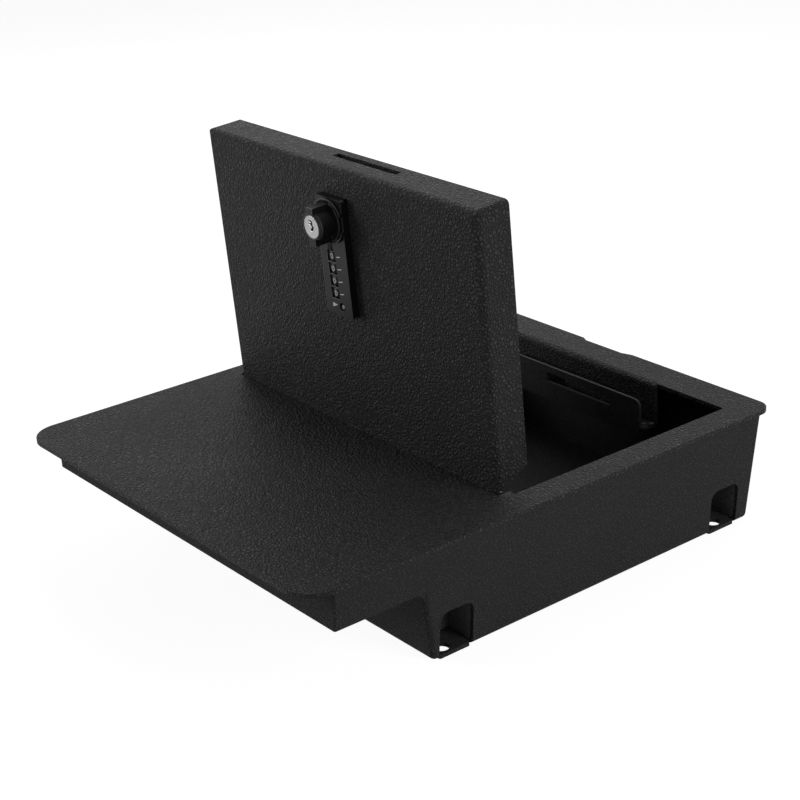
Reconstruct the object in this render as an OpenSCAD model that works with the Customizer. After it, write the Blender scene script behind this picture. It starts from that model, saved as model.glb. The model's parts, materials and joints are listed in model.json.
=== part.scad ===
// A low vehicle cash box of folded 12 gauge steel. A shallow tray and a deep tub hang under one
// wide top plate, and a recessed box-section lid turns on a piano hinge halfway along the plate.
// A four-dial combination lock with a key override swings a cam through the lid's free edge.
// Millimetres. X runs along the hinge, Y to the rear, Z up, with the origin under the middle.
// Inside the modules X and Y count from the plate's front left corner, and Z from the floor.
// The lid is built closed, then turned about the hinge onto its open stop.

/* [Plate and shell] */
// Width of the top plate, along the hinge
plate_w = 300; // [290:1:320]
// Length of the top plate, front to rear
plate_l = 373.4; // [370:0.2:390]
// Height from the floor to the top of the plate
box_h = 77; // [72:0.5:90]
// Thickness of the sheet steel
sheet = 2.7; // [2:0.1:3]
// Corner radius at the front of the plate
front_corner = 20; // [8:1:30]
// Corner radius at the rear of the plate
rear_corner = 11; // [4:1:14]
// How far the side walls stand in from the plate's edge
side_inset = 2.5; // [1:0.5:5]
// How far the front skirt stands in from the plate's edge
skirt_y = 21; // [15:1:30]
// Depth of the shallow front tray below the plate's top
tray_depth = 28.3; // [22:0.1:36]
// Front face of the deep tub, at the tray's underside
tub_front = 83.7; // [76:0.1:90]
// Rear face of the deep tub, under the plate
tub_rear = 365.8; // [360:0.2:368]
// Outer radius of the folds of the tub
bend = 3.6; // [3:0.1:6]

/* [Opening] */
// Left edge of the lid opening
open_left = 8.5; // [8:0.5:16]
// Right edge of the lid opening
open_right = 280.4; // [276:0.2:286]
// Front edge of the lid opening, where the hinge lies
open_front = 158.2; // [150:0.2:160]
// Rear edge of the lid opening
open_rear = 348; // [346:0.5:352]
// Height of the flange folded down from the rear rim
flange_drop = 28.5; // [28:0.5:34]

/* [Lid] */
// Left side of the lid
lid_left = 14.2; // [14:0.1:19]
// Right side of the lid
lid_right = 274.7; // [272:0.1:275]
// Length of the lid, from its hinge edge to its free edge
lid_len = 174.7; // [172:0.1:175]
// Depth of the lid's skirts
lid_depth = 24.8; // [22:0.2:25]
// Outer radius of the folds round the lid's face
lid_bend = 5; // [3:0.5:7]
// Outer radius of the welded corners between the lid's skirts
lid_corner = 3.2; // [3:0.1:5]
// How far the lid opens before its face meets the plate
open_angle = 94.15; // [80:0.05:94.2]

/* [Lock] */
// Middle of the lock across the lid
lock_x = 146.4; // [140:0.1:154]
// Lower end of the lock's front plate, along the lid
lock_u = 81.2; // [70:0.2:84]
// Width of the lock's front plate
bezel_w = 25.2; // [22:0.1:26]
// Length of the lock's front plate
bezel_l = 76.2; // [75:0.1:80]
// Thickness of the lock's front plate
bezel_h = 5.5; // [5:0.1:6]
// Radius of the number dials
dial_r = 7; // [6.6:0.1:7]
// Distance from one dial to the next
dial_pitch = 8.07; // [8:0.01:8.4]
// Reach of the cam from the knob's axis
cam_reach = 36; // [34:0.5:36]

/* [Hidden] */

// Colours
coat = "#1c1c1d";
lock_black = "#131314";
bright = "#b9bcc0";
spring_steel = "#8e9196";

// Small amounts that solids are lengthened by where they are cut or joined
eps = 0.01;
over = 1;
// Air between pieces that move past each other
gap = 0.3;
// Air around a shaft in its hole
run = 0.05;
// Air between pieces that are fitted and welded
fit = 0.1;

// Shell
under = box_h - sheet;          // underside of the plate
tray_z = box_h - tray_depth;    // underside of the tray
side_taper = 3.5;               // lean of the side walls from upright, in degrees
front_taper = 9.3;              // lean of the tub's front wall
rear_taper = 4.1;               // lean of the rear wall
tray_corner = 1.2;              // corner radius of the tray
tray_end = 110;                 // how far back the tray's blank runs into the tub
step_fillet = 5;                // fold between the tray and the tub's front wall
notch_x = [128.3, 133.2, 167.8, 175.5]; // relief notch in the rear edge of the plate
notch_d = 2.5;

// Feet: a rounded window in each side wall, a floor tab with a bolt hole, and a closing pocket
foot_y = [95.8, 323.2];         // front edge of each window
foot_w = 25.4;
foot_top = 29.8;
foot_round = 6;
foot_depth = 24;                // depth of the pocket from the outer face of the wall
pocket_sheet = 1.9;
window_reach = 13;              // how far in from the plate's edge a window cuts
tab_reach = 7;                  // length of a floor tab, into the floor
tab_short = 1.8;                // gap between a tab's rear end and its window's rear edge
tab_round = 1.5;                // outer corners of a tab
fold_relief = bend - sheet + 0.3; // how far the pockets stand clear of the bottom folds
bolt_inset = 14;                // bolt holes from the plate's side edge
bolt_y = [103.1, 334.6];
bolt_r = 5;

// Strike flange and bracket
flange_x = [81.6, 222.8];
flange_face = open_rear - 1.8;  // front face of the flange
flange_bend = 4;
strike_t = 2;
strike_x = [88, 218.3];
strike_face = 336.2;            // front face of the upright
strike_top = box_h - 10.4;
strike_low = box_h - 35.5;      // lower edge of the upright
strike_round = 5.5;
strike_base = 2.5;              // thickness of the bracket's shelf
strike_slot_w = [15.6, 22];     // cam slot in the upright, as depths below the top face
strike_slot_x = [130, 190.6];
slot_w = [14.3, 19.2];          // cam slot in the lid, as depths below its face
slot_x = [129.1, 189.1];

// Hinge
hinge_drop = 4;                 // hinge axis below the top face
hinge_r = 3.6;
hinge_pin_r = 1.5;
hinge_z = box_h - hinge_drop;
hinge_y = open_front + 4.6;
knuckles = 13;
hinge_x = [15.5, 273.4];
leaf_t = 1.5;
leaf_len = 22;
tab_in = 4.9;                   // the hinge corners of the opening stand in by this much

// Lid
lid_y = hinge_y + 4.3;          // hinge edge of the closed lid
skirt_cut = 10.6;               // how far the side skirts are cut back at their lower edge

// Lock, with depths counted down from the lid's outer face, so that the front is negative
bezel_corner = 1.5;
knob_u = lock_u + 61.7;
collar_r = 14.4;                // raised ring round the knob, cut off flush with the bezel's sides
collar_in = 13.3;
collar_h = 2;
channel_r = 6;                  // curve of the channel above the dials
channel_d = 0.8;                // and its depth
knob_base_r = 12.3;
knob_base_h = 2.2;
knob_body_r = 8.6;
knob_wing = [5.7, 24.2];        // gripping bar across the knob
knob_front = 19.6;
ring_pitch = 0.9;               // turned rings on the knob's nose
ring_r = 8.1;                   // the first ring; each one behind it is wider by ring_step
ring_step = 0.17;
groove_r = 7.9;                 // between the rings
core_r = 7.2;
core_front = 19.3;
keyway_d = 5;
core_back = 9;
spindle_r = 5;
house_side = 1.6;               // how far the housing stands out past the bezel, behind the lid
house_back = 14.3;
neck_side = 0.8;                // how far the housing's neck stands in from the bezel's edge
dial_x = lock_x - 2.4;
dial_mid = lock_u + 26.25;
dial_w = 6.6;
dial_sunk = 0.3;                // how far the dials' rims stay below the front plate's face
dial_axis = dial_r - bezel_h + dial_sunk; // depth of the dials' axis
window_w = 7.6;                 // window over each dial, across the lock
window_d = 2;                   // depth of its straight walls
dial_shaft_r = 1.5;
dial_air = 0.3;
cam_t = 3;
cam_z = 17.4;                   // middle of the cam
cam_w = 12;
reset_pos = [lock_x + 3.2, lock_u + 6.1];
reset_r = 1.4;
reset_dish_r = 2.9;             // round dish that the reset button stands in
reset_dish_h = 1.4;
screw_pos = [[lock_x - 6.2, lock_u + 4.6], [lock_x, lock_u + 73.6]];
screw_r = 1.4;
screw_head_r = 2.6;

// Inner or outer face of each wall at a height z, moved inwards by d
function side_at(z, d) = side_inset + d + (under - z)*tan(side_taper);
function front_at(z, d) = tub_front + d + (tray_z - z)*tan(front_taper);
function rear_at(z, d) = tub_rear - d - (under - z)*tan(rear_taper);

module on_plate() translate([-plate_w/2, -plate_l/2, 0]) children();

// Turns what is built on the closed lid about the hinge, onto the open stop
module opened()
    translate([0, hinge_y, hinge_z]) rotate([open_angle, 0, 0])
        translate([0, -hinge_y, -hinge_z]) children();

// The lid's own frame: X as before, Y from its hinge edge, Z out of its face
module on_lid() on_plate() opened() translate([0, lid_y, box_h]) children();

module along_x(len) rotate([90, 0, 90]) linear_extrude(len) children();
module along_y(len) translate([0, len, 0]) rotate([90, 0, 0]) linear_extrude(len) children();

// A rectangle from the origin with its two far corners rounded
module far_round(w, l, r) {
    square([w, l - r]);
    translate([r, 0]) square([w - 2*r, l]);
    for (x = [r, w - r]) translate([x, l - r]) circle(r, $fn = 48);
}

module rounded(w, l, r) {
    translate([r, 0]) square([w - 2*r, l]);
    translate([0, r]) square([w, l - 2*r]);
    for (x = [r, w - r], y = [r, l - r]) translate([x, y]) circle(r, $fn = 48);
}

// ---- Plate and shell ----

module plate_outline() difference() {
    union() {
        translate([0, front_corner]) far_round(plate_w, plate_l - front_corner, rear_corner);
        translate([0, plate_l/2]) mirror([0, 1]) far_round(plate_w, plate_l/2, front_corner);
    }
    polygon([[notch_x[0], plate_l + over], [notch_x[0], plate_l], [notch_x[1], plate_l - notch_d],
        [notch_x[2], plate_l - notch_d], [notch_x[3], plate_l], [notch_x[3], plate_l + over]]);
}

// The opening: narrower beside the hinge, and cut further back where the rear flange folds down
module opening_outline() {
    translate([open_left, lid_y + gap]) square([open_right - open_left, open_rear - lid_y - gap]);
    translate([open_left + tab_in, open_front])
        square([open_right - open_left - 2*tab_in, lid_y - open_front + over]);
    translate([flange_x[0], open_rear - over])
        square([flange_x[1] - flange_x[0], flange_face + flange_bend - open_rear + over]);
}

// Fold and flange, seen along the hinge: 0,0 is where the fold leaves the plate's top
module flange_outline() {
    difference() {
        translate([-flange_bend, -flange_bend]) square(flange_bend);
        translate([0, -flange_bend]) circle(flange_bend - sheet, $fn = 48);
        difference() {
            translate([-flange_bend - over, -flange_bend]) square(flange_bend + over + eps);
            translate([0, -flange_bend]) circle(flange_bend, $fn = 48);
            translate([0, -flange_bend]) square(flange_bend + over);
        }
    }
    translate([-flange_bend, -flange_drop]) square([sheet, flange_drop - flange_bend + eps]);
}

module top_plate() color(coat) on_plate() {
    translate([0, 0, under]) linear_extrude(sheet) difference() {
        plate_outline();
        opening_outline();
    }
    translate([flange_x[0], flange_face + flange_bend, box_h])
        along_x(flange_x[1] - flange_x[0]) flange_outline();
}

// One rounded corner of the tub: a stack of rings that follows the bottom fold
module tub_corner(x, y, low, r)
    for (a = [0 : 22.5 : 90])
        translate([x, y, low + r*(1 - sin(a))]) cylinder(r = r*cos(a) + eps, h = eps, $fn = 32);

// The deep tub as a solid, with every face moved inwards by d
module tub_solid(d, high) {
    r = bend - d;
    fold = d + r;
    hull() for (right = [0, 1]) {
        low_x = side_at(fold, d) + r;
        top_x = side_at(high, d) + r;
        for (y = [front_at(fold, d) + r, rear_at(fold, d) - r])
            tub_corner(right ? plate_w - low_x : low_x, y, d, r);
        for (y = [front_at(high, d) + r, rear_at(high, d) - r])
            translate([right ? plate_w - top_x : top_x, y, high - eps])
                cylinder(r = r, h = eps, $fn = 32);
    }
}

// The shallow tray as a solid, with every face moved inwards by d
module tray_solid(d, high) hull()
    for (z = [tray_z + d, high - eps], right = [0, 1], y = [skirt_y + d + tray_corner, tray_end]) {
        x = side_at(z, d) + tray_corner;
        translate([right ? plate_w - x : x, y, z]) cylinder(r = tray_corner, h = eps, $fn = 32);
    }

module step_fold() {
    x = side_at(tray_z - step_fillet, 0);
    translate([x, tub_front - step_fillet, tray_z - step_fillet]) along_x(plate_w - 2*x)
        difference() {
            square([step_fillet + 1.2, step_fillet + eps]);
            circle(step_fillet, $fn = 48);
        }
}

// A foot window's outline, seen along X, from the floor's top up to its rounded head
module foot_outline(low) translate([0, low]) far_round(foot_w, foot_top - low, foot_round);

// Tongue of the floor that reaches out through a window on the left side
module floor_tab(y) translate([side_at(0, 0) + tab_reach, y + gap, 0]) rotate([0, 0, 90])
    linear_extrude(sheet) far_round(foot_w - gap - tab_short, tab_reach, tab_round);

module body_shell() color(coat) on_plate() difference() {
    union() {
        difference() {
            union() {
                tub_solid(0, under);
                tray_solid(0, under);
                step_fold();
            }
            tub_solid(sheet, under + over);
            tray_solid(sheet, under + over);
            for (y = foot_y, x = [-over, plate_w - window_reach])
                translate([x, y, 0]) along_x(window_reach + over) foot_outline(-over);
        }
        // floor tabs that run straight out to the wall's face
        for (y = foot_y) {
            floor_tab(y);
            translate([plate_w, 0, 0]) mirror([1, 0, 0]) floor_tab(y);
        }
    }
    for (x = [bolt_inset, plate_w - bolt_inset], y = bolt_y)
        translate([x, y, -over]) cylinder(r = bolt_r, h = sheet + 2*over, $fn = 64);
}

// Folded cover that closes a foot window off from the inside of the box. Its lower edges are
// cut away over the shell's bottom folds.
module pocket_block(d, y) {
    low = side_at(sheet, sheet) + fit;
    high = side_at(foot_top + pocket_sheet, sheet) + fit;
    top = foot_top + pocket_sheet - d;
    out = d > 0 ? over : 0;
    translate([0, y - pocket_sheet + d, 0]) along_y(foot_w + 2*pocket_sheet - 2*d)
        polygon([[low - out + fold_relief, sheet - out], [side_at(0, 0) + foot_depth - d, sheet - out],
            [side_at(0, 0) + foot_depth - d, top], [high - out, top], [low - out, sheet + fold_relief]]);
}

module foot_pocket(right, y) {
    module one() difference() {
        pocket_block(0, y);
        pocket_block(pocket_sheet, y);
        along_x(plate_w/2) polygon([[front_at(sheet, sheet) - over, sheet - over],
            [front_at(sheet, sheet) + fold_relief + over, sheet - over],
            [front_at(sheet, sheet) - over, sheet + fold_relief + over]]);
    }
    color(coat) on_plate() if (right) translate([plate_w, 0, 0]) mirror([1, 0, 0]) one(); else one();
}

module foot_pocket_front_left() foot_pocket(false, foot_y[0]);
module foot_pocket_front_right() foot_pocket(true, foot_y[0]);
module foot_pocket_rear_left() foot_pocket(false, foot_y[1]);
module foot_pocket_rear_right() foot_pocket(true, foot_y[1]);

// A shelf under the rear flange with an upright on its front edge, which stands inside the
// closed lid and has the cam's slot in it
module strike_bracket() color(coat) on_plate() {
    translate([strike_x[0], strike_face, box_h - flange_drop - strike_base])
        cube([flange_x[1] - strike_x[0], flange_face + sheet - strike_face, strike_base]);
    translate([0, strike_face + strike_t, 0]) rotate([90, 0, 0]) linear_extrude(strike_t)
        difference() {
            translate([strike_x[0], strike_low])
                far_round(strike_x[1] - strike_x[0], strike_top - strike_low, strike_round);
            translate([strike_slot_x[0], box_h - strike_slot_w[1]])
                square([strike_slot_x[1] - strike_slot_x[0], strike_slot_w[1] - strike_slot_w[0]]);
        }
}

// ---- Hinge ----

knuckle_len = (hinge_x[1] - hinge_x[0])/knuckles;

// A leaf and every other knuckle, on the closed lid's side of the axis when moving is true
module hinge_leaf(moving) {
    first = moving ? 1 : 0;
    air = hinge_r + 0.6;
    // the moving leaf lies between the lid's folded sides
    x = moving ? [lid_left + lid_bend + fit, lid_right - lid_bend - fit] : hinge_x;
    difference() {
        union() {
            translate([x[0], moving ? hinge_y + air : hinge_y - air - leaf_len, under - leaf_t])
                cube([x[1] - x[0], leaf_len, leaf_t]);
            for (k = [first : 2 : knuckles - 1])
                translate([hinge_x[0] + k*knuckle_len + gap/2, hinge_y, 0]) {
                    translate([0, 0, hinge_z]) rotate([0, 90, 0])
                        cylinder(r = hinge_r, h = knuckle_len - gap, $fn = 48);
                    translate([0, moving ? 0 : -air - over, under - leaf_t])
                        cube([knuckle_len - gap, air + over, leaf_t]);
                }
        }
        translate([hinge_x[0] - over, hinge_y, hinge_z]) rotate([0, 90, 0])
            cylinder(r = hinge_pin_r + run, h = hinge_x[1] - hinge_x[0] + 2*over, $fn = 48);
    }
}

module hinge_fixed_leaf() color(coat) on_plate() hinge_leaf(false);
module hinge_moving_leaf() color(coat) on_plate() opened() hinge_leaf(true);
module hinge_pin() color(spring_steel) on_plate() translate([hinge_x[0], hinge_y, hinge_z])
    rotate([0, 90, 0]) cylinder(r = hinge_pin_r, h = hinge_x[1] - hinge_x[0], $fn = 48);

// ---- Lid ----

// The lid as a solid with its folds, every face moved inwards by d and the open sides run past
module lid_solid(d) {
    w = lid_right - lid_left - 2*d;
    l = lid_len - d;
    h = lid_depth - d;
    past = d > 0 ? over : 0;
    r = lid_bend - d;
    translate([lid_left + d, 0, 0]) intersection() {
        translate([0, -past, -lid_depth - past]) linear_extrude(h + past)
            far_round(w, l + past, lid_corner - d);
        translate([0, -past, -lid_depth - past]) along_y(l + past) far_round(w, h + past, r);
        translate([-over, -past - over, -lid_depth - past]) along_x(w + 2*over) {
            square([l + past + over - r, h + past]);
            square([l + past + over, h + past - r]);
            translate([l + past + over - r, h + past - r]) circle(r, $fn = 48);
        }
    }
}

module lid_pan() color(coat) on_lid() difference() {
    lid_solid(0);
    lid_solid(sheet);
    // side skirts cut back on a slant at the hinge
    translate([lid_left - over, 0, 0]) along_x(lid_right - lid_left + 2*over)
        polygon([[-over, -sheet], [1.2, -sheet], [skirt_cut, -lid_depth - over], [-over, -lid_depth - over]]);
    // cam slot in the free edge
    translate([slot_x[0], lid_len - sheet - over, -slot_w[1]])
        cube([slot_x[1] - slot_x[0], sheet + 2*over, slot_w[1] - slot_w[0]]);
    // cut-out for the lock's neck
    translate([lock_x - bezel_w/2 + neck_side - 0.2, lock_u + neck_side - 0.2, -sheet - over])
        cube([bezel_w - 2*neck_side + 0.4, bezel_l - 2*neck_side + 0.4, sheet + 2*over]);
}

// ---- Lock ----

// Room for the dials and their shaft
module dial_room() {
    for (i = [0 : 3]) translate([dial_x, dial_mid + (i - 1.5)*dial_pitch, -dial_axis])
        rotate([90, 0, 0]) cylinder(r = dial_r + dial_air, h = dial_w + 0.4, center = true, $fn = 64);
    translate([dial_x, dial_mid, -dial_axis]) rotate([90, 0, 0])
        cylinder(r = dial_shaft_r + run, h = 4*dial_pitch + 6, center = true, $fn = 32);
}

module screw_at(i) translate([screw_pos[i][0], screw_pos[i][1], 0]) children();

module lock_bezel() color(lock_black) on_lid() difference() {
    union() {
        translate([lock_x - bezel_w/2, lock_u, 0]) linear_extrude(bezel_h)
            rounded(bezel_w, bezel_l, bezel_corner);
        translate([0, 0, bezel_h - eps]) linear_extrude(collar_h + eps) intersection() {
            translate([lock_x, knob_u]) circle(collar_r, $fn = 96);
            translate([lock_x - bezel_w/2, lock_u]) square([bezel_w, bezel_l]);
        }
    }
    translate([lock_x, knob_u, bezel_h]) cylinder(r = collar_in, h = collar_h + over, $fn = 96);
    dial_room();
    for (i = [0 : 3]) translate([dial_x - window_w/2, dial_mid + (i - 1.5)*dial_pitch - dial_w/2 - 0.2,
        bezel_h - window_d]) cube([window_w, dial_w + 0.4, window_d + over]);
    // shallow channel from the collar down to the first dial
    translate([dial_x, dial_mid + 1.5*dial_pitch, bezel_h + channel_r - channel_d]) rotate([-90, 0, 0])
        cylinder(r = channel_r, h = knob_u - collar_in - dial_mid - 1.5*dial_pitch, $fn = 96);
    translate([lock_x, knob_u, -over]) cylinder(r = spindle_r + run, h = bezel_h + 2*over, $fn = 64);
    translate([reset_pos[0], reset_pos[1], -over]) cylinder(r = reset_r + run, h = bezel_h, $fn = 32);
    translate([reset_pos[0], reset_pos[1], bezel_h - reset_dish_h])
        cylinder(r = reset_dish_r, h = reset_dish_h + over, $fn = 48);
    for (i = [0, 1]) screw_at(i) translate([0, 0, -over]) cylinder(r = screw_r, h = over + 3, $fn = 32);
}

module lock_housing() color(lock_black) on_lid() difference() {
    union() {
        translate([lock_x - bezel_w/2 + neck_side, lock_u + neck_side, -sheet])
            cube([bezel_w - 2*neck_side, bezel_l - 2*neck_side, sheet]);
        translate([lock_x - bezel_w/2 - house_side, lock_u - house_side, -house_back])
            linear_extrude(house_back - sheet)
                rounded(bezel_w + 2*house_side, bezel_l + 2*house_side, 2);
    }
    dial_room();
    translate([lock_x, knob_u, -house_back - over])
        cylinder(r = spindle_r + run, h = house_back + 2*over, $fn = 64);
    // blind hole under the reset button
    translate([reset_pos[0], reset_pos[1], -6]) cylinder(r = reset_r + run, h = 6 + over, $fn = 32);
    // pocket for the detent spring
    translate([dial_x - 3, dial_mid - 2*dial_pitch - 1, -dial_axis - dial_r - 2.4])
        cube([6, 4*dial_pitch + 2, 2.6]);
    for (i = [0, 1]) screw_at(i) {
        translate([0, 0, -house_back - over]) cylinder(r = screw_r + 0.1, h = house_back + 2*over, $fn = 32);
        translate([0, 0, -house_back - over]) cylinder(r = screw_head_r + 0.2, h = over + 2, $fn = 32);
    }
}

// Two screws that draw the housing and the bezel together through the lid
module lock_screws() color(bright) on_lid() for (i = [0, 1]) screw_at(i) {
    translate([0, 0, -house_back + 2]) cylinder(r = screw_r - run, h = house_back + 0.6, $fn = 32);
    translate([0, 0, -house_back + 0.2]) difference() {
        cylinder(r = screw_head_r, h = 1.8, $fn = 32);
        translate([0, 0, -eps]) cylinder(r = 1.2, h = 1, $fn = 6);
    }
}

module dial_shaft() color(bright) on_lid() translate([dial_x, dial_mid, -dial_axis])
    rotate([90, 0, 0]) cylinder(r = dial_shaft_r, h = 4*dial_pitch + 5.6, center = true, $fn = 32);

// A comb of four leaf springs on one strip, below the dials
module dial_detent_spring() color(spring_steel) on_lid() {
    z = -dial_axis - dial_r - 2.2;
    translate([dial_x - 2.6, dial_mid - 2*dial_pitch, z]) cube([1.4, 4*dial_pitch, 0.4]);
    for (i = [0 : 3]) translate([dial_x - 2.6, dial_mid + (i - 1.5)*dial_pitch - 1.5, z]) {
        cube([4.6, 3, 0.4]);
        translate([3.4, 0, 0.4]) cube([0.8, 3, 0.6]);
    }
}

// A number wheel with ten shallow thumb notches between its ten digits
module dial(i) color(lock_black) on_lid()
    translate([dial_x, dial_mid + (i - 1.5)*dial_pitch, -dial_axis]) rotate([90, 0, 0]) difference() {
        cylinder(r = dial_r, h = dial_w, center = true, $fn = 64);
        cylinder(r = dial_shaft_r + run, h = dial_w + over, center = true, $fn = 32);
        for (a = [18 : 36 : 342]) rotate([0, 0, 90 + a]) translate([dial_r + 0.25, 0, 0])
            cylinder(r = 0.7, h = dial_w + over, center = true, $fn = 24);
    }

module dial_1() dial(3);
module dial_2() dial(2);
module dial_3() dial(1);
module dial_4() dial(0);

module code_reset_button() color(bright) on_lid()
    translate([reset_pos[0], reset_pos[1], -4.4]) cylinder(r = reset_r, h = bezel_h + 4.4 - 0.6, $fn = 32);

// A round base in the collar, a barrel with three turned rings on its nose, and a gripping bar
module knob() color(lock_black) on_lid() translate([lock_x, knob_u, 0]) difference() {
    base = bezel_h + gap;
    nose = knob_front - 2*ring_pitch - ring_pitch/2;
    union() {
        translate([0, 0, base]) cylinder(r = knob_base_r, h = knob_base_h, $fn = 64);
        translate([0, 0, base]) cylinder(r = knob_body_r, h = nose - base, $fn = 64);
        translate([0, 0, base]) cylinder(r = groove_r, h = knob_front - base, $fn = 64);
        for (i = [0 : 2]) translate([0, 0, knob_front - i*ring_pitch - ring_pitch/2])
            cylinder(r = ring_r + i*ring_step, h = ring_pitch/2, $fn = 64);
        translate([-knob_wing[0]/2, -knob_wing[1]/2, base + knob_base_h - eps])
            cube([knob_wing[0], knob_wing[1], knob_front - base - knob_base_h + eps]);
    }
    translate([0, 0, core_back]) cylinder(r = core_r + run, h = core_front, $fn = 64);
}

// Turned shaft from the knob through the housing, with a square end that drives the cam
module knob_spindle() color(bright) on_lid() translate([lock_x, knob_u, 0]) {
    translate([0, 0, -house_back - 0.4])
        cylinder(r = spindle_r, h = house_back + 0.4 + bezel_h + gap, $fn = 64);
    translate([-3, -3, -cam_z - cam_t/2]) cube([6, 6, cam_z + cam_t/2 - house_back]);
}

// Latch arm. At rest it lies along X, turned out of the slots
module cam() color(bright) on_lid() translate([lock_x, knob_u, -cam_z - cam_t/2]) linear_extrude(cam_t)
    difference() {
        union() {
            circle(8, $fn = 64);
            translate([0, -cam_w/2]) square([cam_reach - 3, cam_w]);
            translate([cam_reach - 3 - eps, -cam_w/2 + 3]) square([3, cam_w - 6]);
            for (y = [-1, 1]) translate([cam_reach - 3, y*(cam_w/2 - 3)]) circle(3, $fn = 32);
        }
        square(6 + 2*run, center = true);
    }

module cam_screw() color(spring_steel) on_lid() translate([lock_x, knob_u, -cam_z - cam_t/2 - 2.2])
    difference() {
        cylinder(r = 4.6, h = 2.2, $fn = 48);
        translate([0, 0, -eps]) cylinder(r = 2, h = 1.4, $fn = 6);
    }

// Key barrel, with a warded keyway cut in its bright face
module key_core() color(bright) on_lid() translate([lock_x, knob_u, 0]) difference() {
    translate([0, 0, core_back + gap]) cylinder(r = core_r, h = core_front - core_back - gap, $fn = 64);
    // warded keyway
    translate([0, 0, core_front - keyway_d]) linear_extrude(keyway_d + over)
        polygon([[-2.1, 4], [0.9, 4], [1.3, 2.6], [1.1, 1.2], [2.2, 0.5], [2.2, -0.6], [0.7, -2.7], [-1, -2.4],
            [-0.9, -1.4], [0.5, -0.8], [0.4, 0.3], [-0.4, 1.5], [-2.2, 1.5], [-2.2, 2.3], [0, 2.3], [0, 3.1],
            [-2.1, 3.1]]);
}

top_plate();
body_shell();
foot_pocket_front_left();
foot_pocket_front_right();
foot_pocket_rear_left();
foot_pocket_rear_right();
strike_bracket();
hinge_fixed_leaf();
hinge_pin();
hinge_moving_leaf();
lid_pan();
lock_bezel();
lock_housing();
lock_screws();
dial_shaft();
dial_detent_spring();
dial_1();
dial_2();
dial_3();
dial_4();
code_reset_button();
knob();
knob_spindle();
cam();
cam_screw();
key_core();
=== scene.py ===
import json
import math

import bmesh
import bpy
import numpy as np
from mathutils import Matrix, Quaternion, Vector

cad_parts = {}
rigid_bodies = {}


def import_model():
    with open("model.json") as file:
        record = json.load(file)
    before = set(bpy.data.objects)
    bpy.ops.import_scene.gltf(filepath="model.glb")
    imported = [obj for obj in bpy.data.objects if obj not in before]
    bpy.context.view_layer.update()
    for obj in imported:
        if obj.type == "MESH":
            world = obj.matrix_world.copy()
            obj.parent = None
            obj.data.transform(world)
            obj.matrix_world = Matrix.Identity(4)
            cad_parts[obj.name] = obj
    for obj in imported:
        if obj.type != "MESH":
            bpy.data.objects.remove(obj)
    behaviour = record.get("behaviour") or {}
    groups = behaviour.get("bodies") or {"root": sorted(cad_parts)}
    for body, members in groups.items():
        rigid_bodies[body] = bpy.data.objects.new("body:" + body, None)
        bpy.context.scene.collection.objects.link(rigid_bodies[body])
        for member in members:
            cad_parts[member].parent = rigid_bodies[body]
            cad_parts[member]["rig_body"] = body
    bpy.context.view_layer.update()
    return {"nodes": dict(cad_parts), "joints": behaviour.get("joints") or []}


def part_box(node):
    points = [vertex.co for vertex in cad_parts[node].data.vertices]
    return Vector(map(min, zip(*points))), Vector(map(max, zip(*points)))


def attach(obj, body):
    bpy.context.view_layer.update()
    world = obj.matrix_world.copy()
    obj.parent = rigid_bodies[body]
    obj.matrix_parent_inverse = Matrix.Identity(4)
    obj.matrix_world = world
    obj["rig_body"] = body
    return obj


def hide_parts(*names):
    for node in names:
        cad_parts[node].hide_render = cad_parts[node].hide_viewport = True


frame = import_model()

# ---- White sweep ----
# A white sweep with two soft boxes behind the lid, one low on the front left that rakes its face
# and one on the right. The camera stands to the right of the box's front, above the open lid.

CAMERA_PLACE = Vector((0.8453, -0.6721, 0.5466))
CAMERA_TARGET = Vector((0.0, 0.0015, 0.0904))
CAMERA_ROLL = math.radians(-2.22)
CAMERA_LENS_MM = 82.88
SENSOR_MM = 36

camera = bpy.data.objects.new("camera", bpy.data.cameras.new("camera"))
bpy.context.scene.collection.objects.link(camera)
camera.data.sensor_width = SENSOR_MM
camera.data.lens = CAMERA_LENS_MM
camera.location = CAMERA_PLACE
camera.rotation_mode = "QUATERNION"
aim = (CAMERA_TARGET - CAMERA_PLACE).to_track_quat("-Z", "Y")
camera.rotation_quaternion = aim @ Quaternion((0, 0, 1), CAMERA_ROLL)
bpy.context.scene.camera = camera
bpy.context.scene.view_settings.view_transform = "Standard"

LAMP_TARGET = Vector((0, 0, 0.1))


def soft_box(name, place, width, height, watts):
    """A rectangular lamp at place that faces the middle of the box."""
    lamp = bpy.data.objects.new(name, bpy.data.lights.new(name, "AREA"))
    bpy.context.scene.collection.objects.link(lamp)
    lamp.data.shape = "RECTANGLE"
    lamp.data.size, lamp.data.size_y = width, height
    lamp.data.energy = watts
    lamp.location = place
    lamp.rotation_mode = "QUATERNION"
    lamp.rotation_quaternion = (LAMP_TARGET - Vector(place)).to_track_quat("-Z", "Y")


soft_box("rear_top_box", (-0.2, 1.1, 1.1), width=0.9, height=0.9, watts=3.5)
soft_box("rear_left_box", (-1.2, 0.5, 0.9), width=0.8, height=0.8, watts=3.8)
soft_box("front_left_box", (-1.1, -1.2, 0.55), width=0.5, height=0.5, watts=8.5)
soft_box("right_box", (1.4, 0.3, 0.7), width=0.6, height=0.8, watts=8.0)


def seen_rays(nodes, links):
    """1 for rays that come straight from the camera or by way of a mirror or glass, else 0."""
    path = nodes.new("ShaderNodeLightPath")
    total = path.outputs["Is Camera Ray"]
    for kind in ("Is Glossy Ray", "Is Transmission Ray"):
        larger = nodes.new("ShaderNodeMath")
        larger.operation = "MAXIMUM"
        links.new(total, larger.inputs[0])
        links.new(path.outputs[kind], larger.inputs[1])
        total = larger.outputs[0]
    return total


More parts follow.
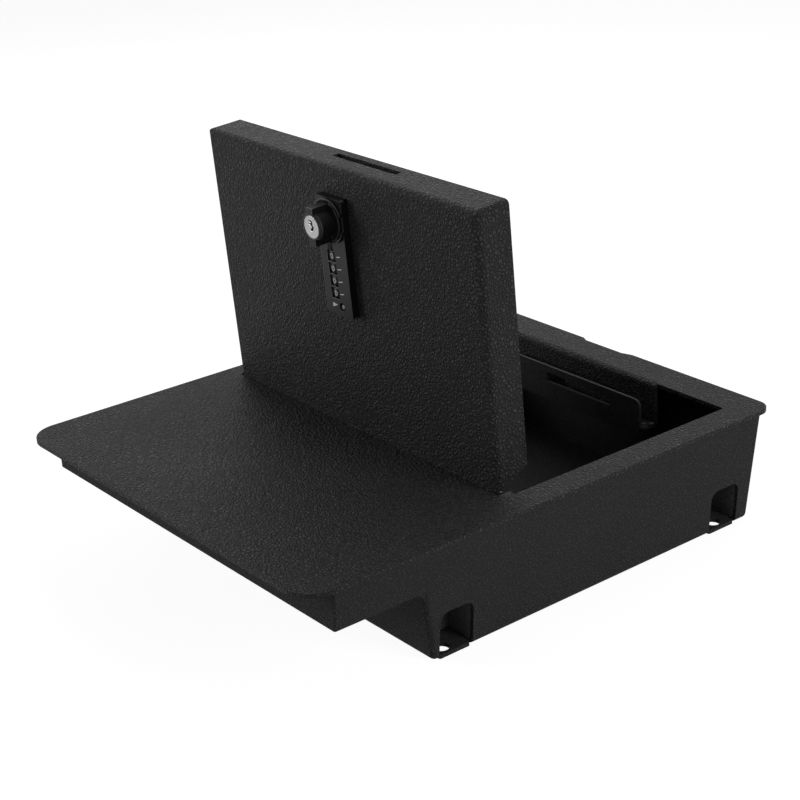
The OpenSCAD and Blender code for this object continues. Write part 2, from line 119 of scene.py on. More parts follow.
def where_seen(nodes, links, lit, seen):
    """One shader for the light that falls on the box, and another for what the camera sees."""
    mix = nodes.new("ShaderNodeMixShader")
    links.new(seen_rays(nodes, links), mix.inputs[0])
    links.new(lit.outputs[0], mix.inputs[1])
    links.new(seen.outputs[0], mix.inputs[2])
    return mix.outputs[0]


def plain_shader(nodes, kind, grey, strength=None):
    """A diffuse or background shader of one grey."""
    shader = nodes.new(kind)
    shader.inputs["Color"].default_value = (grey, grey, grey, 1)
    if strength is not None:
        shader.inputs["Strength"].default_value = strength
    return shader


ROOM_LIGHT = 0.06
BACKDROP_WHITE = 1.0

world = bpy.data.worlds.new("white_room")
bpy.context.scene.world = world
world.use_nodes = True
nodes, links = world.node_tree.nodes, world.node_tree.links
nodes.clear()
room = plain_shader(nodes, "ShaderNodeBackground", 1.0, ROOM_LIGHT)
backdrop = plain_shader(nodes, "ShaderNodeBackground", 1.0, BACKDROP_WHITE)
links.new(where_seen(nodes, links, room, backdrop),
          nodes.new("ShaderNodeOutputWorld").inputs["Surface"])

FLOOR_SIDE = 12.0
FLOOR_DROP = 0.0002
PAPER_GREY = 0.8
FLOOR_GLOW = 0.93
FLOOR_SHADE = 0.24

floor_corners = [(x * FLOOR_SIDE / 2, y * FLOOR_SIDE / 2, -FLOOR_DROP)
                 for x, y in ((-1, -1), (1, -1), (1, 1), (-1, 1))]
floor_mesh = bpy.data.meshes.new("floor")
floor_mesh.from_pydata(floor_corners, [], [(0, 1, 2, 3)])
floor = bpy.data.objects.new("floor", floor_mesh)
bpy.context.scene.collection.objects.link(floor)

floor_paper = bpy.data.materials.new("floor_paper")
floor_paper.use_nodes = True
nodes, links = floor_paper.node_tree.nodes, floor_paper.node_tree.links
nodes.clear()
paper = plain_shader(nodes, "ShaderNodeBsdfDiffuse", PAPER_GREY)
shade = plain_shader(nodes, "ShaderNodeBsdfDiffuse", FLOOR_SHADE)
glow = nodes.new("ShaderNodeEmission")
glow.inputs["Strength"].default_value = FLOOR_GLOW
seen = nodes.new("ShaderNodeAddShader")
links.new(shade.outputs[0], seen.inputs[0])
links.new(glow.outputs[0], seen.inputs[1])
links.new(where_seen(nodes, links, paper, seen),
          nodes.new("ShaderNodeOutputMaterial").inputs["Surface"])
floor.data.materials.append(floor_paper)

# ---- Top plate ----
# The wide cover plate, laser-cut from 12 gauge steel with its rear strike flange folded down.
# It is powder coated with a coarse black pebble texture, and the coat rounds its cut edges.

MM = 0.001
MERGE_WITHIN = 1e-6
FLAT_WITHIN = math.radians(0.8)
SHARP_FROM = math.radians(38)
FACE_WEIGHT = 100

# The pebbled coat's pattern, in pebbles, and the clouds over it, in clouds a metre
WARP_SCALE = 0.45
WARP_REACH = 1.1
DOME_SHOULDER = 0.34
GRAIN_SCALE = 1.5
GRAIN_SHARE = 0.06
COAT_CLOUDS = 14


def finish_material(name, color, roughness, metallic=0.0, specular=0.5):
    """A principled material, with its nodes, links, shader and Object coordinates."""
    material = bpy.data.materials.new(name)
    material.use_nodes = True
    nodes, links = material.node_tree.nodes, material.node_tree.links
    shader = nodes["Principled BSDF"]
    shader.inputs["Base Color"].default_value = (*color, 1)
    shader.inputs["Roughness"].default_value = roughness
    shader.inputs["Metallic"].default_value = metallic
    shader.inputs["Specular IOR Level"].default_value = specular
    place = nodes.new("ShaderNodeTexCoord").outputs["Object"]
    return material, nodes, links, shader, place


def noise(nodes, links, place, scale, detail=2.0, roughness=0.5, output="Fac"):
    """Cloudy noise from 0 to 1, at so many blobs a metre, as a number or as a colour."""
    texture = nodes.new("ShaderNodeTexNoise")
    texture.inputs["Scale"].default_value = scale
    texture.inputs["Detail"].default_value = detail
    texture.inputs["Roughness"].default_value = roughness
    links.new(place, texture.inputs["Vector"])
    return texture.outputs[output]


def ranged(nodes, links, value, low, high, to_low, to_high, smooth=False):
    """value carried from low..high to to_low..to_high, and held at the ends."""
    change = nodes.new("ShaderNodeMapRange")
    change.interpolation_type = "SMOOTHSTEP" if smooth else "LINEAR"
    ends = {"From Min": low, "From Max": high, "To Min": to_low, "To Max": to_high}
    for name, number in ends.items():
        change.inputs[name].default_value = number
    links.new(value, change.inputs["Value"])
    return change.outputs["Result"]


def two_tone(nodes, links, share, dark, light):
    """A colour between dark and light, as share says."""
    tint = nodes.new("ShaderNodeMix")
    tint.data_type = "RGBA"
    tint.inputs["A"].default_value = (*dark, 1)
    tint.inputs["B"].default_value = (*light, 1)
    links.new(share, tint.inputs["Factor"])
    return tint.outputs["Result"]


def summed(nodes, links, first, second, weight):
    """first plus weight times second."""
    add = nodes.new("ShaderNodeMath")
    add.operation = "MULTIPLY_ADD"
    links.new(second, add.inputs[0])
    add.inputs[1].default_value = weight
    links.new(first, add.inputs[2])
    return add.outputs[0]


def raised(nodes, links, shader, height, depth):
    """Height from 0 to 1 as a bump of that depth in metres."""
    bump = nodes.new("ShaderNodeBump")
    bump.inputs["Strength"].default_value = 1.0
    bump.inputs["Distance"].default_value = depth
    links.new(height, bump.inputs["Height"])
    links.new(bump.outputs["Normal"], shader.inputs["Normal"])


def pebbled_coat(name, pebble, depth, dark, light, specular):
    """Leathery powder coat: rounded pebbles of that size with winding valleys between them.

    The distance to the edge of each cell of a warped Voronoi pattern rises into a dome, with a
    little grain on it. The valleys are coloured darker than the pebbles' tops, as painted shade for
    the shadow between the pebbles, and slow clouds vary both."""
    material, nodes, links, shader, place = finish_material(name, light, 0.5, specular=specular)
    warp = noise(nodes, links, place, WARP_SCALE / pebble, output="Color")
    bend = nodes.new("ShaderNodeVectorMath")
    bend.operation = "MULTIPLY_ADD"
    bend.inputs[1].default_value = (WARP_REACH * pebble,) * 3
    links.new(warp, bend.inputs[0])
    links.new(place, bend.inputs[2])
    cells = nodes.new("ShaderNodeTexVoronoi")
    cells.feature = "DISTANCE_TO_EDGE"
    cells.inputs["Scale"].default_value = 1 / pebble
    links.new(bend.outputs[0], cells.inputs["Vector"])
    domes = ranged(nodes, links, cells.outputs["Distance"], 0, DOME_SHOULDER, 0, 1, smooth=True)
    grain = noise(nodes, links, place, GRAIN_SCALE / pebble, detail=1.0)
    raised(nodes, links, shader, summed(nodes, links, domes, grain, GRAIN_SHARE), depth)
    clouds = noise(nodes, links, place, COAT_CLOUDS, detail=3.0)
    # The base colour darkens into the valleys: painted shade between the pebbles. The clouds add random
    # tone.
    share = ranged(nodes, links, summed(nodes, links, domes, clouds, 0.5), 0.1, 1.3, 0, 1)
    links.new(two_tone(nodes, links, share, dark, light), shader.inputs["Base Color"])
    dullness = summed(nodes, links, clouds, domes, -0.5)
    links.new(ranged(nodes, links, dullness, -0.3, 0.8, 0.42, 0.62), shader.inputs["Roughness"])
    return material


def shaded_round(obj, rounding, segments=3):
    """Rounds obj's sharp edges by so many metres, with shading that follows its large faces."""
    bevel = obj.modifiers.new("eased_edges", "BEVEL")
    bevel.width = rounding
    bevel.segments = segments
    bevel.limit_method = "ANGLE"
    bevel.angle_limit = SHARP_FROM
    bevel.use_clamp_overlap = True
    obj.data.polygons.foreach_set("use_smooth", np.ones(len(obj.data.polygons), bool))
    weighted = obj.modifiers.new("flat_faces", "WEIGHTED_NORMAL")
    weighted.weight = FACE_WEIGHT


def face_width(face):
    """Roughly how wide a face is: its area over its longest edge."""
    return face.calc_area() / max(edge.calc_length() for edge in face.edges)


def eased_copy(node, rounding, material, painted_highlight=None):
    """A copy of a CAD node with its loose triangles merged and its sharp edges rounded.

    It replaces the node on the same body, and takes the given material. Where there is a
    painted highlight material, the rounded edges take it: pale paint for the light that the edges
    catch. Then only outer edges are rounded, and of these only the ones between faces wider than
    twice the rounding."""
    body = frame["nodes"][node]["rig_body"]
    mesh = frame["nodes"][node].data.copy()
    loose = bmesh.new()
    loose.from_mesh(mesh)
    bmesh.ops.remove_doubles(loose, verts=loose.verts, dist=MERGE_WITHIN)
    bmesh.ops.dissolve_limit(loose, angle_limit=FLAT_WITHIN, verts=loose.verts, edges=loose.edges)
    if painted_highlight:
        outer = loose.edges.layers.float.new("bevel_weight_edge")
        for edge in loose.edges:
            folded = edge.calc_face_angle(0) > SHARP_FROM
            clear = min(face_width(face) for face in edge.link_faces)
            edge[outer] = float(folded and edge.is_convex and clear > 2 * rounding)
            edge.smooth = edge.is_convex or not folded
    loose.to_mesh(mesh)
    loose.free()
    mesh.materials.clear()
    mesh.materials.append(material)
    obj = bpy.data.objects.new(node + "_finished", mesh)
    bpy.context.scene.collection.objects.link(obj)
    shaded_round(obj, rounding)
    if painted_highlight:
        # The rounded outer edges take the pale paint: a painted highlight for the light the edges catch.
        mesh.materials.append(painted_highlight)
        eased = obj.modifiers["eased_edges"]
        eased.material = len(mesh.materials) - 1
        eased.limit_method = "WEIGHT"
        eased.use_clamp_overlap = False
        obj.modifiers["flat_faces"].keep_sharp = True
    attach(obj, body)
    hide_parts(node)


textured_coat = pebbled_coat("textured_coat", pebble=2.3 * MM, depth=0.95 * MM,
                             dark=(0.016, 0.016, 0.0163), light=(0.064, 0.064, 0.0652), specular=0.1)
eased_copy("top_plate", 0.45 * MM, textured_coat)

# ---- Folded shell ----
# The shallow front tray and the deep tub, folded from the same 12 gauge sheet and welded up at
# the corners and under the plate. Its coat is thinner than the plate's, so its grain is finer.

fine_coat = pebbled_coat("fine_coat", pebble=1.8 * MM, depth=0.4 * MM,
                         dark=(0.036, 0.036, 0.0366), light=(0.065, 0.065, 0.0662), specular=0.015)
eased_copy("body_shell", 0.5 * MM, fine_coat)

# ---- Foot pockets ----
# Four small folded covers of thin sheet, welded over the foot windows from inside, so that the
# bolts can be reached from the sides while the box stays closed.

INNER_PEBBLE = 1.4 * MM
INNER_DEPTH = 0.15 * MM

inner_coat = pebbled_coat("inner_coat", INNER_PEBBLE, INNER_DEPTH,
                          dark=(0.007, 0.007, 0.0072), light=(0.022, 0.022, 0.0225), specular=0.25)
# The pocket covers' coat is coloured several times lighter than the other black coats: painted light,
# standing in for the light that reaches inside the foot windows.
pocket_painted_light_coat = pebbled_coat("pocket_painted_light_coat", INNER_PEBBLE, INNER_DEPTH,
                           dark=(0.055, 0.055, 0.056), light=(0.12, 0.12, 0.122), specular=0.5)
for corner_name in ("front_left", "front_right", "rear_left", "rear_right"):
    eased_copy("foot_pocket_" + corner_name, 0.35 * MM, pocket_painted_light_coat)

# ---- Strike bracket ----
# A shelf and a slotted upright of 2 mm sheet that catch the lock's cam. It is welded under the
# folded flange of the plate, with two short beads at each end.

PLATE_MIDDLE_X = 150.0
PLATE_MIDDLE_Y = 186.7
BEAD_RIPPLE = 0.9 * MM
STRIKE_BEAD_R = 1.1 * MM

# Each bead on the bracket: x, y where it starts and ends, height, and the seed of its ripple
STRIKE_BEADS = (
    (218.9, 338.6, 341.4, 48.9, 0.0), (222.4, 341.6, 345.9, 49.0, 1.7),
    (88.4, 338.6, 341.4, 48.9, 0.6), (82.0, 341.6, 345.9, 49.0, 2.4))


def on_plate(points):
    """Points in millimetres as metres in the frame.

    They are counted from the plate's front left corner and from the floor."""
    return (np.asarray(points, float) - (PLATE_MIDDLE_X, PLATE_MIDDLE_Y, 0.0)) * MM


def grid_mesh(name, grids):
    """One mesh from several grids of points, each rows x columns x 3, with its wrap both ways.

    Every cell of a grid is a quad. Rows or columns that wrap join their last line to their first,
    then points that coincide, as at seams and poles, are merged and the faces turned outwards."""
    points, quads, start = [], [], 0
    for grid, wrap_rows, wrap_columns in grids:
        rows, columns = grid.shape[:2]
        index = start + np.arange(rows * columns).reshape(rows, columns)
        if wrap_rows:
            index = np.vstack([index, index[:1]])
        if wrap_columns:
            index = np.hstack([index, index[:, :1]])
        cells = np.stack([index[:-1, :-1], index[1:, :-1], index[1:, 1:], index[:-1, 1:]], -1)
        points.append(grid.reshape(-1, 3))
        quads.append(cells.reshape(-1, 4))
        start += rows * columns
    mesh = bpy.data.meshes.new(name)
    mesh.from_pydata(np.vstack(points).tolist(), [], np.vstack(quads).tolist())
    loose = bmesh.new()
    loose.from_mesh(mesh)
    bmesh.ops.remove_doubles(loose, verts=loose.verts, dist=MERGE_WITHIN)
    bmesh.ops.recalc_face_normals(loose, faces=loose.faces)
    loose.to_mesh(mesh)
    loose.free()
    return mesh


def placed(name, mesh, material, body, stands_for=(), smooth=True):
    """mesh as a piece of that material on that body."""
    mesh.materials.clear()
    mesh.materials.append(material)
    mesh.polygons.foreach_set("use_smooth", np.full(len(mesh.polygons), smooth))
    obj = bpy.data.objects.new(name, mesh)
    bpy.context.scene.collection.objects.link(obj)
    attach(obj, body)
    if stands_for:
        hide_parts(*stands_for)
    return obj


def weld_bead(start, end, radius, seed):
    """A grid for one bead of weld from start to end, both in metres.

    Round the line, the radius is R (1 - s^6)^(1/2) with s from -1 to 1 along it, so that the ends
    close. Overlapping pools swell it by 12 per cent, as a cosine, and a slow sine of s adds 6."""
    start, end = np.asarray(start, float), np.asarray(end, float)
    length = np.linalg.norm(end - start)
    along = (end - start) / length
    side = np.cross(along, (0.3, 0.5, 0.8))
    side /= np.linalg.norm(side)
    other = np.cross(along, side)
    s = np.sin(np.linspace(-np.pi / 2, np.pi / 2, 41))
    around = np.linspace(0, 2 * np.pi, 17)[:-1]
    place = (s + 1) / 2 * length
    pools = 0.12 * np.cos(2 * np.pi * place / BEAD_RIPPLE + seed)
    ripple = 1 + pools + 0.06 * np.sin(9.0 * s + 2.1 * seed)
    width = radius * np.sqrt(np.clip(1 - s ** 6, 0, 1)) * ripple
    ring = np.cos(around)[:, None] * side + np.sin(around)[:, None] * other
    return start + place[:, None, None] * along + width[:, None, None] * ring[None], False, True


coated_weld = pebbled_coat("coated_weld", pebble=0.7 * MM, depth=0.05 * MM,
                           dark=(0.016, 0.016, 0.0165), light=(0.03, 0.03, 0.031), specular=0.4)
eased_copy("strike_bracket", 0.3 * MM, inner_coat)
strike_beads = [weld_bead(*on_plate([[x, start_y, z], [x, end_y, z]]), STRIKE_BEAD_R, seed)
                for x, start_y, end_y, z, seed in STRIKE_BEADS]
placed("strike_beads", grid_mesh("strike_beads", strike_beads), coated_weld, "root")

# ---- Piano hinge ----
# Two leaves of 1.5 mm sheet rolled into thirteen knuckles round a 3 mm steel pin. The fixed leaf
# is welded under the plate and the moving leaf inside the lid, and the pin's ends are domed.

PIN_R = 1.5 * MM
PIN_DOME = 0.5 * MM
LINE_STRETCH = 0.04
METAL_CLOUDS = 90


def turned(profile, origin, axis, steps=48):
    """A grid for a turned piece: rows of (radius, distance along the axis) swept round the axis."""
    axis = np.asarray(axis, float) / np.linalg.norm(axis)
    side = np.cross(axis, (0.31, 0.52, 0.79))
    side /= np.linalg.norm(side)
    other = np.cross(axis, side)
    angle = np.linspace(0, 2 * np.pi, steps + 1)[:-1]
    ring = np.cos(angle)[:, None] * side + np.sin(angle)[:, None] * other
    profile = np.asarray(profile, float)
    return (np.asarray(origin, float) + profile[:, 1, None, None] * axis
            + profile[:, 0, None, None] * ring[None]), False, True


def drawn_metal(name, color, roughness, grain, axis, depth=0.004 * MM):
    """Bare or plated steel with fine lines drawn along one axis, and clouds in its gloss."""
    material, nodes, links, shader, place = finish_material(name, color, roughness, metallic=1.0)
    stretch = nodes.new("ShaderNodeMapping")
    stretch.inputs["Scale"].default_value = [LINE_STRETCH if i == axis else 1.0 for i in range(3)]
    links.new(place, stretch.inputs["Vector"])
    lines = noise(nodes, links, stretch.outputs["Vector"], grain, 4.0, 0.7)
    clouds = noise(nodes, links, place, METAL_CLOUDS, 3.0)
    raised(nodes, links, shader, lines, depth)
    share = summed(nodes, links, lines, clouds, 0.8)
    tint = two_tone(nodes, links, ranged(nodes, links, share, 0.5, 1.3, 0, 1),
                    [c * 0.72 for c in color], color)
    links.new(tint, shader.inputs["Base Color"])
    links.new(ranged(nodes, links, share, 0.5, 1.3, roughness + 0.12, roughness - 0.06),
              shader.inputs["Roughness"])
    return material


pin_low, pin_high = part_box("hinge_pin")
pin_middle = (pin_low + pin_high) / 2
pin_length = pin_high.x - pin_low.x
dome = np.linspace(0, np.pi / 2, 7)
pin_profile = np.vstack([
    np.column_stack([PIN_R * np.sin(dome), PIN_DOME * (1 - np.cos(dome))]),
    np.column_stack([PIN_R * np.cos(dome), pin_length - PIN_DOME * (1 - np.sin(dome))])])
pin_grid = turned(pin_profile, (pin_low.x, pin_middle.y, pin_middle.z), (1, 0, 0))
spring_steel = drawn_metal("spring_steel", (0.42, 0.43, 0.45), 0.34, grain=2500, axis=0)
placed("hinge_pin_finished", grid_mesh("hinge_pin_finished", [pin_grid]),
       spring_steel, "root", ["hinge_pin"])
for leaf in ("hinge_fixed_leaf", "hinge_moving_leaf"):
    eased_copy(leaf, 0.25 * MM, inner_coat)

# ---- Lid ----
# A shallow pan folded from 12 gauge steel, with the cam's slot in its free edge. Its two free
# corners are welded inside and ground round outside, and it has the plate's pebbled coat.

lid_hinge = next(joint for joint in frame["joints"] if joint["name"] == "lid_hinge")
OPEN_ANGLE = math.radians(-lid_hinge["range_deg"][0])
AXIS_PLACE = lid_hinge["pos_m"]
EDGE_BEHIND_AXIS = 4.3
FACE_OVER_AXIS = 4.0


def on_lid(points):
    """Points in the lid's own millimetres as metres in the frame, with the lid open.

    X is the plate's, Y runs from the lid's hinge edge to its free edge and Z out of its face. They
    are turned about the hinge axis by the open angle."""
    points = np.asarray(points, float)
    back = (points[..., 1] + EDGE_BEHIND_AXIS) * MM
    up = (points[..., 2] + FACE_OVER_AXIS) * MM
    cos, sin = math.cos(OPEN_ANGLE), math.sin(OPEN_ANGLE)
    return np.stack([(points[..., 0] - PLATE_MIDDLE_X) * MM, AXIS_PLACE[1] + back * cos - up * sin,
                     AXIS_PLACE[2] + back * sin + up * cos], -1)


LID_SIDES = (14.2, 274.7)
LID_LENGTH = 174.7
LID_SHEET = 2.7
BEAD_STANDS_IN = 0.35
BEAD_TOP, BEAD_FOOT = -5.0, -23.6
LID_BEAD_R = 1.25 * MM

eased_copy("lid_pan", 0.4 * MM, textured_coat)
lid_beads = []
for side, inward, seed in ((LID_SIDES[0], 1, 0.4), (LID_SIDES[1], -1, 1.9)):
    x = side + inward * (LID_SHEET + BEAD_STANDS_IN)
    y = LID_LENGTH - LID_SHEET - BEAD_STANDS_IN
    lid_beads.append(weld_bead(*on_lid([[x, y, BEAD_TOP], [x, y, BEAD_FOOT]]), LID_BEAD_R, seed))
placed("lid_corner_beads", grid_mesh("lid_corner_beads", lid_beads), coated_weld, "lid")

# ---- Lock bezel and housing ----
# A die-cast front plate with a raised ring for the knob, painted satin black with its outer
# edges painted pale as a painted highlight, and the housing behind the lid. White index ticks and
# an arrow at the reset button are filled into the casting.

CASTING_CLOUDS = 60


def cast_finish(name, color, roughness, specular, grain=0.25 * MM, depth=0.012 * MM):
    """Satin paint over a fine casting: small orange peel, and slow clouds in its gloss."""
    material, nodes, links, shader, place = finish_material(name, color, roughness, specular=specular)
    peel = noise(nodes, links, place, 1 / grain, 3.0, 0.6)
    clouds = noise(nodes, links, place, CASTING_CLOUDS, 3.0)
    raised(nodes, links, shader, peel, depth)
    dullness = summed(nodes, links, clouds, peel, 0.6)
    links.new(ranged(nodes, links, dullness, 0.4, 1.2, roughness - 0.08, roughness + 0.1),
              shader.inputs["Roughness"])
    links.new(two_tone(nodes, links, clouds, [c * 0.75 for c in color], [c * 1.2 for c in color]),
              shader.inputs["Base Color"])
    return material


LOCK_X = 146.4
LOCK_U = 81.2
BEZEL_FACE = 5.5
DIAL_X = LOCK_X - 2.4
DIAL_U = LOCK_U + 26.25
DIAL_PITCH = 8.07
PAINT_FILM = 0.04

lock_black = cast_finish("lock_black", (0.01, 0.01, 0.0103), 0.36, 0.16)
# Pale paint for the rounded outer edges of the bezel and the knob: a painted highlight for the light the
# edges catch.
lock_edge_highlight = cast_finish("lock_edge_highlight", (0.12, 0.12, 0.12), 0.36, 0.4)
eased_copy("lock_bezel", 0.22 * MM, lock_black, lock_edge_highlight)
eased_copy("lock_housing", 0.5 * MM, lock_black)


def flat_marks(name, outlines, face):
    """Painted marks on the lid's own plane at height face: each outline is x and y in millimetres.

    An outline stands twice, a film's thickness apart, and the two are closed all round."""
    points, faces = [], []
    for outline in outlines:
        outline = np.asarray(outline, float)
        count, start = len(outline), sum(len(p) for p in points)
        for height in (face - PAINT_FILM, face + PAINT_FILM):
            points.append(np.column_stack([outline, np.full(count, height)]))
        around = [(start + i, start + (i + 1) % count) for i in range(count)]
        faces += [(a, b, b + count, a + count) for a, b in around]
        lower = tuple(range(start + count - 1, start - 1, -1))
        upper = tuple(range(start + count, start + 2 * count))
        faces += [lower, upper]
    mesh = bpy.data.meshes.new(name)
    mesh.from_pydata(on_lid(np.vstack(points)).tolist(), [], faces)
    return mesh


def bar_outline(x, y, length, width, turn):
    """A bar with round ends, turned about its middle by turn degrees."""
    half = np.linspace(-np.pi / 2, np.pi / 2, 9)
    right = np.column_stack([length / 2 - width / 2 + width / 2 * np.cos(half),
                             width / 2 * np.sin(half)])
    bar = np.vstack([right, -right])
    cos, sin = math.cos(math.radians(turn)), math.sin(math.radians(turn))
    return bar @ np.array([[cos, sin], [-sin, cos]]) + (x, y)


PAINT_GRAIN = 9000


def painted(name, color):
    """Filled paint: a little uneven in tone, dull and slightly raised by its own grain."""
    material, nodes, links, shader, place = finish_material(name, color, 0.5, specular=0.4)
    grain = noise(nodes, links, place, PAINT_GRAIN)
    raised(nodes, links, shader, grain, 0.01 * MM)
    links.new(two_tone(nodes, links, grain, [c * 0.86 for c in color], color),
              shader.inputs["Base Color"])
    return material


TICK_BESIDE_DIAL = 6.7
TICK_ABOVE_ROW = 0.8
RESET_X, RESET_U = LOCK_X + 3.2, LOCK_U + 6.1
ARROW_CORNERS = ((-9.4, 1.3), (-9.4, -1.5), (-4.2, 0.7))

white_paint = painted("white_paint", (0.8, 0.8, 0.79))
dial_rows = [DIAL_U + (1.5 - i) * DIAL_PITCH for i in range(4)]
ticks = [bar_outline(DIAL_X + TICK_BESIDE_DIAL, row + TICK_ABOVE_ROW, length=4.0, width=0.6, turn=13)
         for row in dial_rows]
arrow = [[RESET_X + x, RESET_U + u] for x, u in ARROW_CORNERS]
placed("index_marks", flat_marks("index_marks", ticks + [arrow], BEZEL_FACE),
       white_paint, "lid", smooth=False)

# ---- Dials ----
# Four moulded number wheels on a plated shaft, each with ten thumb notches in its rim and the
# digits 0 to 9 filled in white between them. A comb of leaf springs clicks in the notches.

DIAL_R = 7.0
DIAL_WIDTH = 6.6
DIAL_DEEP = 1.8
DIAL_BORE = 1.55
NOTCH_DEEP = 0.45
NOTCH_HALF = math.radians(5)
SIDE_STEP = 0.15
HUB_R = 5.4
FLANK_R = 6.2
RIM_EASE = 0.35
EDGE_BREAK = 0.1
DIGIT_TALL = 3.3
DIGIT_WIDE = 2.7
DIGIT_THICK = 0.08
ONE_NARROWER = 0.55
DIGIT_STRIPS = 8
FONT_MERGE = 1e-5


def dial_grid(u):
    """One number wheel in the lid's millimetres, centred u up the lid.

    The section is a closed loop from the bore over chamfered sides to the rim: rows of radius,
    place across the wheel, and share of the notch. Round the wheel the rim's radius is R less a
    notch exp(-(t/w)^4) deep, ten times, and the bore stays round."""
    half = DIAL_WIDTH / 2
    side = np.array([(DIAL_BORE, half, 0), (HUB_R, half, 0),
                     (HUB_R + 2 * EDGE_BREAK, half - SIDE_STEP, 0),
                     (FLANK_R, half - SIDE_STEP, 0.6), (DIAL_R - RIM_EASE, half - EDGE_BREAK, 1),
                     (DIAL_R - EDGE_BREAK, half - RIM_EASE, 1), (DIAL_R, half - 2 * RIM_EASE, 1)])
    loop = np.vstack([side * (1, -1, 1), [(DIAL_R, 0, 1)], side[::-1]])
    angle = np.linspace(0, 2 * np.pi, 361)[:-1]
    step = np.pi / 5
    off = np.abs((angle % step) - step / 2)
    notch = NOTCH_DEEP * np.exp(-(off / NOTCH_HALF) ** 4)
    radius = loop[:, 0, None] - notch[None] * loop[:, 2, None]
    return np.stack([DIAL_X + radius * np.sin(angle), u + np.broadcast_to(loop[:, 1, None], radius.shape),
                     -DIAL_DEEP + radius * np.cos(angle)], -1)


def digit_outline(character):
    """The built-in font's character about the origin, DIGIT_TALL high and cut into upright strips."""
    curve = bpy.data.curves.new("digit_curve", "FONT")
    curve.body = character
    curve.extrude = 0.02
    text = bpy.data.objects.new("digit_text", curve)
    bpy.context.scene.collection.objects.link(text)
    bpy.context.view_layer.update()
    mesh = bpy.data.meshes.new_from_object(text.evaluated_get(bpy.context.evaluated_depsgraph_get()))
    bpy.data.objects.remove(text)
    bpy.data.curves.remove(curve)
    strips = bmesh.new()
    strips.from_mesh(mesh)
    bmesh.ops.remove_doubles(strips, verts=strips.verts, dist=FONT_MERGE)
    places = np.array([v.co for v in strips.verts])
    low, high = places.min(0), places.max(0)
    for x in np.linspace(low[0], high[0], DIGIT_STRIPS + 1)[1:-1]:
        bmesh.ops.bisect_plane(strips, geom=strips.verts[:] + strips.edges[:] + strips.faces[:],
                               plane_co=(x, 0, 0), plane_no=(1, 0, 0))
    strips.to_mesh(mesh)
    strips.free()
    points = np.array([v.co for v in mesh.vertices])
    faces = [tuple(p.vertices) for p in mesh.polygons]
    bpy.data.meshes.remove(mesh)
    width = DIGIT_WIDE * ONE_NARROWER if character == "1" else DIGIT_WIDE
    return (points - (low + high) / 2) / (high - low) * (width, DIGIT_TALL, DIGIT_THICK), faces


digit_shapes = [digit_outline(str(n)) for n in range(10)]


def digit_ring(name, u):
    """All ten digits wrapped round a dial's rim: x goes round it as an angle x / R, z outwards."""
    points, faces = [], []
    for n, (shape, shape_faces) in enumerate(digit_shapes):
        start = sum(len(p) for p in points)
        angle = shape[:, 0] / DIAL_R + n * math.radians(36)
        radius = DIAL_R + shape[:, 2]
        points.append(np.column_stack([DIAL_X + radius * np.sin(angle), u + shape[:, 1],
                                       -DIAL_DEEP + radius * np.cos(angle)]))
        faces += [tuple(start + i for i in face) for face in shape_faces]
    mesh = bpy.data.meshes.new(name)
    mesh.from_pydata(on_lid(np.vstack(points)).tolist(), [], faces)
    loose = bmesh.new()
    loose.from_mesh(mesh)
    bmesh.ops.recalc_face_normals(loose, faces=loose.faces)
    loose.to_mesh(mesh)
    loose.free()
    return mesh


dial_black = cast_finish("dial_black", (0.006, 0.006, 0.006), 0.3, 0.2, depth=0.004 * MM)
for number, row in enumerate(dial_rows, 1):
    node = "dial_%d" % number
    wheel = placed(node + "_wheel", grid_mesh(node + "_wheel", [(on_lid(dial_grid(row)), True, True)]),
                   dial_black, node, [node])
    shaded_round(wheel, 0.06 * MM, 2)
    placed(node + "_digits", digit_ring(node + "_digits", row),
           white_paint, node, smooth=False)

zinc = drawn_metal("zinc", (0.6, 0.61, 0.63), 0.36, grain=1800, axis=2)
eased_copy("dial_shaft", 0.2 * MM, zinc)
eased_copy("dial_detent_spring", 0.08 * MM, spring_steel)
eased_copy("lock_screws", 0.15 * MM, zinc)
button_steel = drawn_metal("button_steel", (0.22, 0.22, 0.23), 0.4, grain=1800, axis=2)
eased_copy("code_reset_button", 0.25 * MM, button_steel)

# ---- Knob, key barrel and cam ----
# A die-cast knob with a gripping bar, three turned rings on its nose and a grey mark on its base.
# The chromed key barrel sits in its bore, and its spindle turns a plated cam behind the lid.

KNOB_U = LOCK_U + 61.7
KNOB_BASE_FACE = 8.0
CORE_FACE = 19.3
# How far behind the core's face, in millimetres, the keyway's painted shade is full and where it has
# faded out
KEYWAY_SHADE_DEPTHS = (0.9, 0.5)
CHROME = (0.5, 0.5, 0.51)
# The colour of the painted shade inside the keyway
KEYWAY_SHADE = (0.004, 0.004, 0.004)
CHROME_WEAR = 700
RING_PITCH = 0.85 * MM
KNOB_MARK = (LOCK_X + 4.4, KNOB_U - 8.8)


def worked_out(nodes, links, kind, operation, first, second=None):
    """The result of a Math or VectorMath node; second is an output to link, or a constant."""
    node = nodes.new(kind)
    node.operation = operation
    links.new(first, node.inputs[0])
    if isinstance(second, bpy.types.NodeSocket):
        links.new(second, node.inputs[1])
    elif second is not None:
        node.inputs[1].default_value = second
    return node.outputs["Value" if operation in ("LENGTH", "DOT_PRODUCT") else 0]


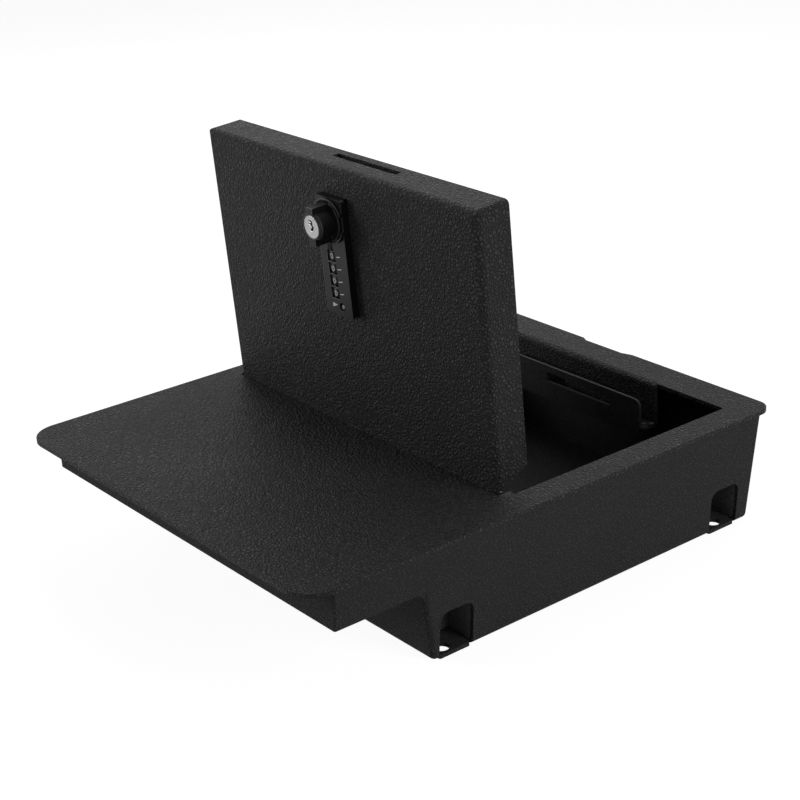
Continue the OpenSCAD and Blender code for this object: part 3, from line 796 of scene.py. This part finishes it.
def ringed_chrome(name, middle, axis, pitch):
    """Chromed brass faced off on a lathe: rings of that pitch round an axis through middle.

    From just behind the face inwards, the keyway's walls are coloured dark and not metallic: painted
    shade inside the keyway."""
    material, nodes, links, shader, place = finish_material(name, CHROME, 0.24, metallic=1.0)
    vector, number = "ShaderNodeVectorMath", "ShaderNodeMath"
    centred = worked_out(nodes, links, vector, "SUBTRACT", place, middle)
    across = worked_out(nodes, links, vector, "CROSS_PRODUCT", centred, axis)
    radius = worked_out(nodes, links, vector, "LENGTH", across)
    turns = worked_out(nodes, links, number, "MULTIPLY", radius, 2 * math.pi / pitch)
    rings = worked_out(nodes, links, number, "SINE", turns)
    wear = noise(nodes, links, place, CHROME_WEAR, 4.0, 0.6)
    height = summed(nodes, links, wear, rings, 0.3)
    raised(nodes, links, shader, height, 0.012 * MM)
    forward = worked_out(nodes, links, vector, "DOT_PRODUCT", centred, axis)
    deep_shade_at, full = ((CORE_FACE - behind) * MM for behind in KEYWAY_SHADE_DEPTHS)
    # plated is 0 deep in the keyway and 1 on the face: it colours the keyway's walls dark and takes their
    # metal away, as painted shade.
    plated = ranged(nodes, links, forward, deep_shade_at, full, 0, 1)
    share = ranged(nodes, links, height, 0.1, 0.9, 0.45, 1)
    bright = worked_out(nodes, links, number, "MULTIPLY", plated, share)
    links.new(two_tone(nodes, links, bright, KEYWAY_SHADE, CHROME), shader.inputs["Base Color"])
    links.new(plated, shader.inputs["Metallic"])
    links.new(ranged(nodes, links, wear, 0.3, 0.7, 0.32, 0.22), shader.inputs["Roughness"])
    return material


# The knob's rounded outer edges take the same pale paint, a painted highlight.
eased_copy("knob", 0.2 * MM, lock_black, lock_edge_highlight)
grey_paint = painted("grey_paint", (0.14, 0.14, 0.14))
knob_mark = bar_outline(*KNOB_MARK, length=2.0, width=0.8, turn=90)
placed("knob_index_mark", flat_marks("knob_index_mark", [knob_mark], KNOB_BASE_FACE),
       grey_paint, "knob", smooth=False)
key_middle = on_lid([LOCK_X, KNOB_U, 0])
key_axis = on_lid([LOCK_X, KNOB_U, 1 / MM]) - key_middle
key_chrome = ringed_chrome("key_chrome", tuple(key_middle), tuple(key_axis), RING_PITCH)
eased_copy("key_core", 0.3 * MM, key_chrome)
eased_copy("knob_spindle", 0.3 * MM, zinc)
eased_copy("cam", 0.35 * MM, zinc)
eased_copy("cam_screw", 0.35 * MM, zinc)
